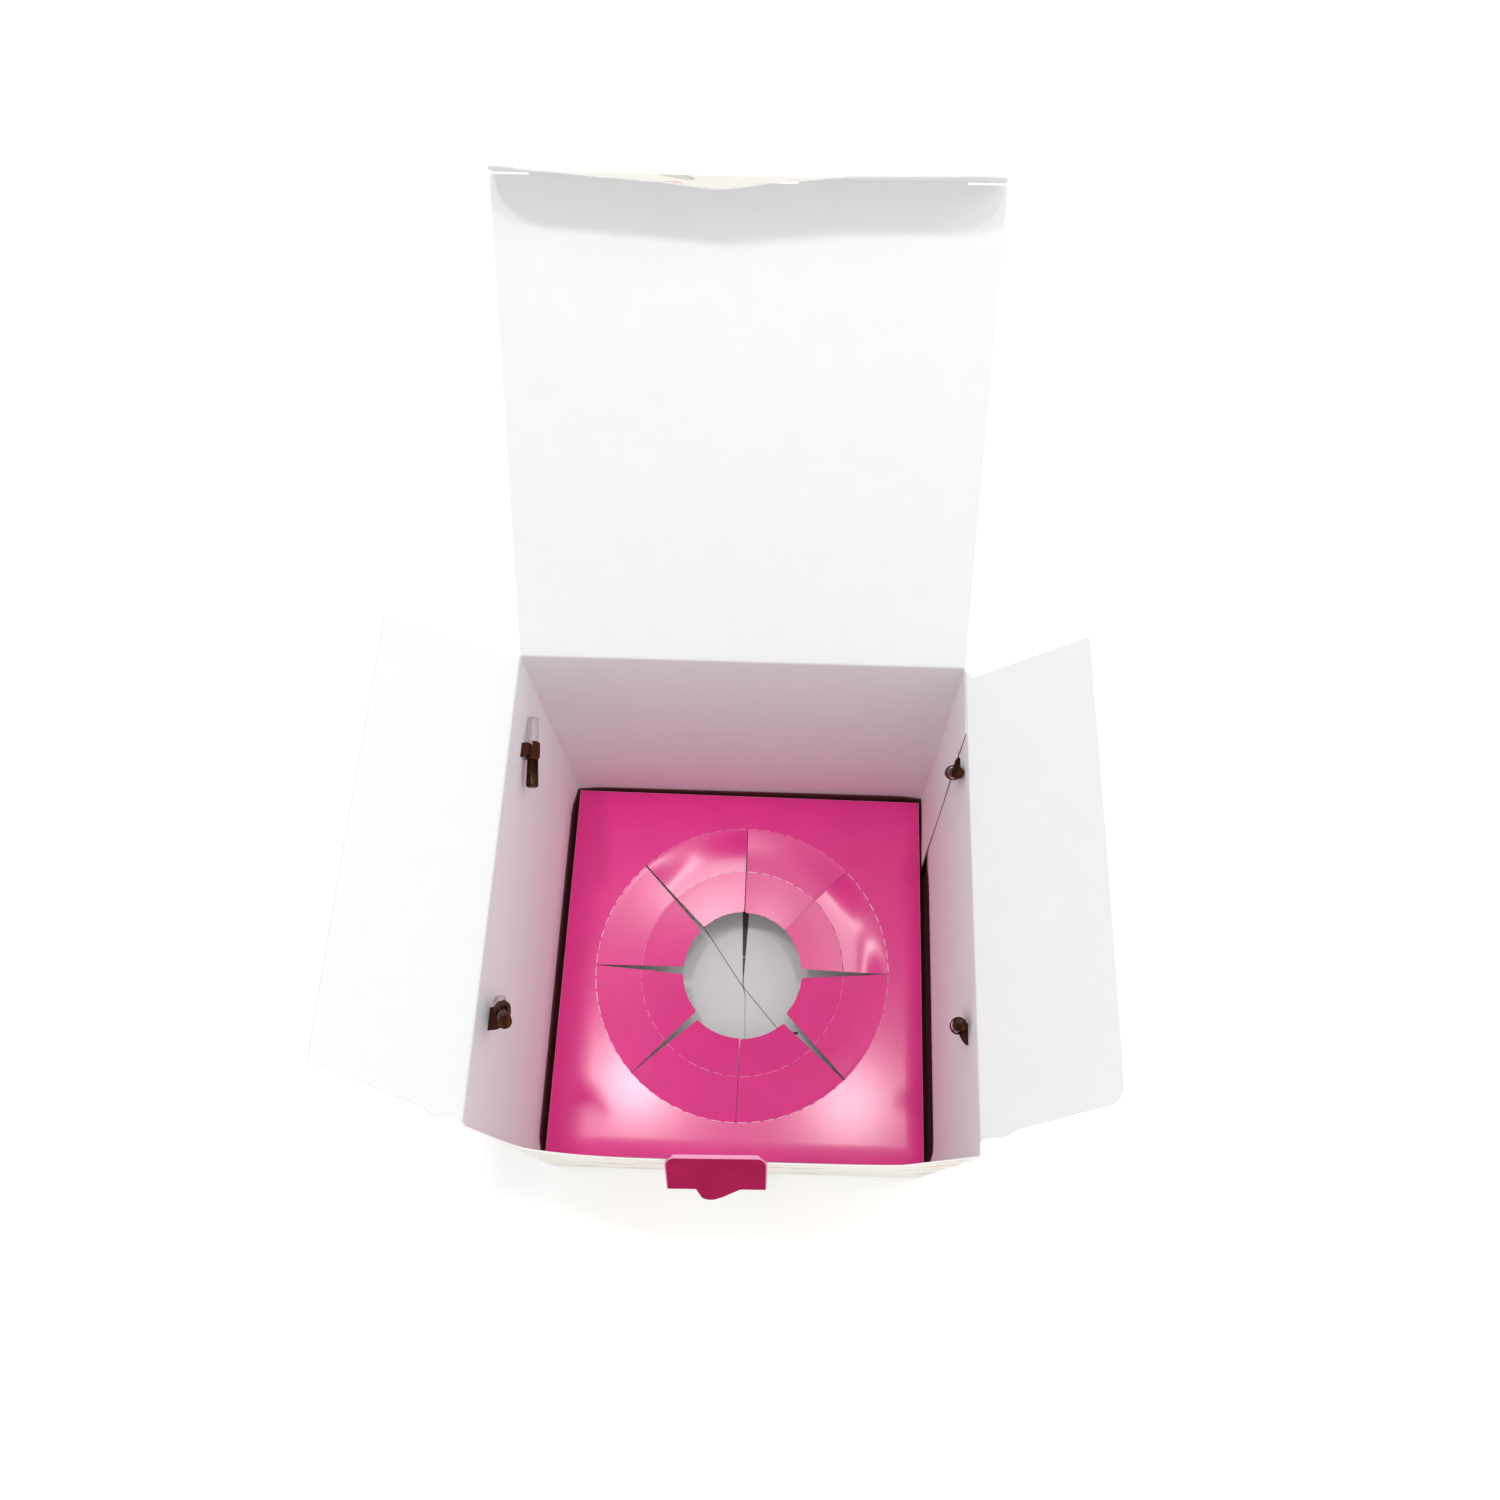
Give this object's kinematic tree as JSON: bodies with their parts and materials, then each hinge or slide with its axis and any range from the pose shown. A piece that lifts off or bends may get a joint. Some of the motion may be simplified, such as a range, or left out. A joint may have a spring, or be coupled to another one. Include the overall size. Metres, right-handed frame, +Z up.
{
  "type": "panettone box",
  "caption": "Tall square folding carton, lid open, with dust flaps, a lock tab, ribbon handles and a perforated card insert that holds a cake.",
  "frame": {"origin": "centre of the underside of the box", "axes": "+Z up; +Y towards the wall that the lid is hinged on; +X to the right seen from the front"},
  "size_m": [0.2498, 0.3043, 0.3217],
  "materials": {
    "board_white": "clay-coated white carton board, unprinted side",
    "card_pink": "gloss-coated pink printed card",
    "base_board": "white carton board, unprinted side",
    "ribbon_brown": "satin ribbon",
    "toggle_dark": "glossy",
    "toggle_clear": "clear, glossy"
  },
  "bodies": {
    "box": {"back_wall": "board_white", "front_wall": "board_white", "left_wall": "board_white", "right_wall": "board_white", "glue_flap": "board_white", "left_base_flap": "base_board", "right_base_flap": "base_board", "front_base_flap": "base_board", "back_base_flap": "base_board", "tab_root": "card_pink", "ribbon_loop_left": "ribbon_brown", "ribbon_end_left_back": "ribbon_brown", "toggle_dark_left_back": "toggle_dark", "toggle_clear_left_back": "toggle_clear", "ribbon_end_left_front": "ribbon_brown", "toggle_dark_left_front": "toggle_dark", "toggle_clear_left_front": "toggle_clear", "ribbon_loop_right": "ribbon_brown", "ribbon_end_right_back": "ribbon_brown", "toggle_dark_right_back": "toggle_dark", "toggle_clear_right_back": "toggle_clear", "ribbon_end_right_front": "ribbon_brown", "toggle_dark_right_front": "toggle_dark", "toggle_clear_right_front": "toggle_clear"},
    "lid": {"lid_panel": "board_white"},
    "tuck": {"tuck_flap": "board_white"},
    "left_dust": {"left_dust_flap": "board_white"},
    "right_dust": {"right_dust_flap": "board_white"},
    "tab": {"lock_tab": "card_pink"},
    "insert": {"insert_deck": "card_pink", "insert_skirt_left": "card_pink", "insert_skirt_right": "card_pink", "insert_skirt_front": "card_pink", "insert_skirt_back": "card_pink"},
    "petal_1": {"petal_1": "card_pink"},
    "tip_1": {"petal_tip_1": "card_pink"},
    "petal_2": {"petal_2": "card_pink"},
    "tip_2": {"petal_tip_2": "card_pink"},
    "petal_3": {"petal_3": "card_pink"},
    "tip_3": {"petal_tip_3": "card_pink"},
    "petal_4": {"petal_4": "card_pink"},
    "tip_4": {"petal_tip_4": "card_pink"},
    "petal_5": {"petal_5": "card_pink"},
    "tip_5": {"petal_tip_5": "card_pink"},
    "petal_6": {"petal_6": "card_pink"},
    "tip_6": {"petal_tip_6": "card_pink"},
    "petal_7": {"petal_7": "card_pink"},
    "tip_7": {"petal_tip_7": "card_pink"},
    "petal_8": {"petal_8": "card_pink"},
    "tip_8": {"petal_tip_8": "card_pink"}
  },
  "joints": [
    {"name": "lid_hinge", "type": "hinge", "parent": "box", "child": "lid", "pos_m": [0, 0.08725, 0.184], "axis": [-1, 0, 0], "range_deg": [-133.1, 116.9]},
    {"name": "tuck_hinge", "type": "hinge", "parent": "lid", "child": "tuck", "pos_m": [0, 0.20388, 0.30864], "axis": [-1, 0, 0], "range_deg": [-18, 92]},
    {"name": "left_dust_hinge", "type": "hinge", "parent": "box", "child": "left_dust", "pos_m": [-0.0855, 0, 0.1832], "axis": [0, -1, 0], "range_deg": [-139.5, 95.5]},
    {"name": "right_dust_hinge", "type": "hinge", "parent": "box", "child": "right_dust", "pos_m": [0.0855, 0, 0.1832], "axis": [0, 1, 0], "range_deg": [-133.5, 101.5]},
    {"name": "lock_tab_hinge", "type": "hinge", "parent": "box", "child": "tab", "pos_m": [0, -0.0924, 0.18344], "axis": [-1, 0, 0], "range_deg": [-13, 165]},
    {"name": "insert_lift", "type": "slide", "parent": "box", "child": "insert", "axis": [0, 0, 1], "range_m": [0, 0.1]},
    {"name": "petal_1_fold", "type": "hinge", "parent": "insert", "child": "petal_1", "pos_m": [0.06301, 0.0261, 0.0306], "axis": [0.3827, -0.9239, 0], "range_deg": [-5, 83]},
    {"name": "tip_1_fold", "type": "hinge", "parent": "petal_1", "child": "tip_1", "pos_m": [0.04364, 0.01808, 0.02917], "axis": [0.3827, -0.9239, 0], "range_deg": [-68.5, 4.6]},
    {"name": "petal_2_fold", "type": "hinge", "parent": "insert", "child": "petal_2", "pos_m": [0.0261, 0.06301, 0.0306], "axis": [0.9239, -0.3827, 0], "range_deg": [-4, 84]},
    {"name": "tip_2_fold", "type": "hinge", "parent": "petal_2", "child": "tip_2", "pos_m": [0.01807, 0.04362, 0.02953], "axis": [0.9239, -0.3827, 0], "range_deg": [-68.5, 3.74]},
    {"name": "petal_3_fold", "type": "hinge", "parent": "insert", "child": "petal_3", "pos_m": [-0.0261, 0.06301, 0.0306], "axis": [0.9239, 0.3827, 0], "range_deg": [-4, 84]},
    {"name": "tip_3_fold", "type": "hinge", "parent": "petal_3", "child": "tip_3", "pos_m": [-0.01807, 0.04362, 0.02953], "axis": [0.9239, 0.3827, 0], "range_deg": [-68.5, 3.74]},
    {"name": "petal_4_fold", "type": "hinge", "parent": "insert", "child": "petal_4", "pos_m": [-0.06301, 0.0261, 0.0306], "axis": [0.3827, 0.9239, 0], "range_deg": [-8, 80]},
    {"name": "tip_4_fold", "type": "hinge", "parent": "petal_4", "child": "tip_4", "pos_m": [-0.04374, 0.01812, 0.02807], "axis": [0.3827, 0.9239, 0], "range_deg": [-68.5, 7.3]},
    {"name": "petal_5_fold", "type": "hinge", "parent": "insert", "child": "petal_5", "pos_m": [-0.06301, -0.0261, 0.0306], "axis": [-0.3827, 0.9239, 0], "range_deg": [-9, 79]},
    {"name": "tip_5_fold", "type": "hinge", "parent": "petal_5", "child": "tip_5", "pos_m": [-0.04378, -0.01814, 0.02771], "axis": [-0.3827, 0.9239, 0], "range_deg": [-68.5, 8.25]},
    {"name": "petal_6_fold", "type": "hinge", "parent": "insert", "child": "petal_6", "pos_m": [-0.0261, -0.06301, 0.0306], "axis": [-0.9239, 0.3827, 0], "range_deg": [-12, 76]},
    {"name": "tip_6_fold", "type": "hinge", "parent": "petal_6", "child": "tip_6", "pos_m": [-0.0182, -0.04395, 0.02662], "axis": [-0.9239, 0.3827, 0], "range_deg": [-68.5, 11.24]},
    {"name": "petal_7_fold", "type": "hinge", "parent": "insert", "child": "petal_7", "pos_m": [0.0261, -0.06301, 0.0306], "axis": [-0.9239, -0.3827, 0], "range_deg": [-13, 75]},
    {"name": "tip_7_fold", "type": "hinge", "parent": "petal_7", "child": "tip_7", "pos_m": [0.01823, -0.04402, 0.02626], "axis": [-0.9239, -0.3827, 0], "range_deg": [-68.5, 12.29]},
    {"name": "petal_8_fold", "type": "hinge", "parent": "insert", "child": "petal_8", "pos_m": [0.06301, -0.0261, 0.0306], "axis": [-0.3827, -0.9239, 0], "range_deg": [-9, 79]},
    {"name": "tip_8_fold", "type": "hinge", "parent": "petal_8", "child": "tip_8", "pos_m": [0.04378, -0.01814, 0.02771], "axis": [-0.3827, -0.9239, 0], "range_deg": [-68.5, 8.25]}
  ],
  "couplings": [
    {"joint": "tip_1_fold", "follows": "petal_1_fold", "ratio": -0.81928},
    {"joint": "tip_2_fold", "follows": "petal_2_fold", "ratio": -0.80952},
    {"joint": "tip_3_fold", "follows": "petal_3_fold", "ratio": -0.80952},
    {"joint": "tip_4_fold", "follows": "petal_4_fold", "ratio": -0.85},
    {"joint": "tip_5_fold", "follows": "petal_5_fold", "ratio": -0.86076},
    {"joint": "tip_6_fold", "follows": "petal_6_fold", "ratio": -0.89474},
    {"joint": "tip_7_fold", "follows": "petal_7_fold", "ratio": -0.90667},
    {"joint": "tip_8_fold", "follows": "petal_8_fold", "ratio": -0.86076}
  ]
}
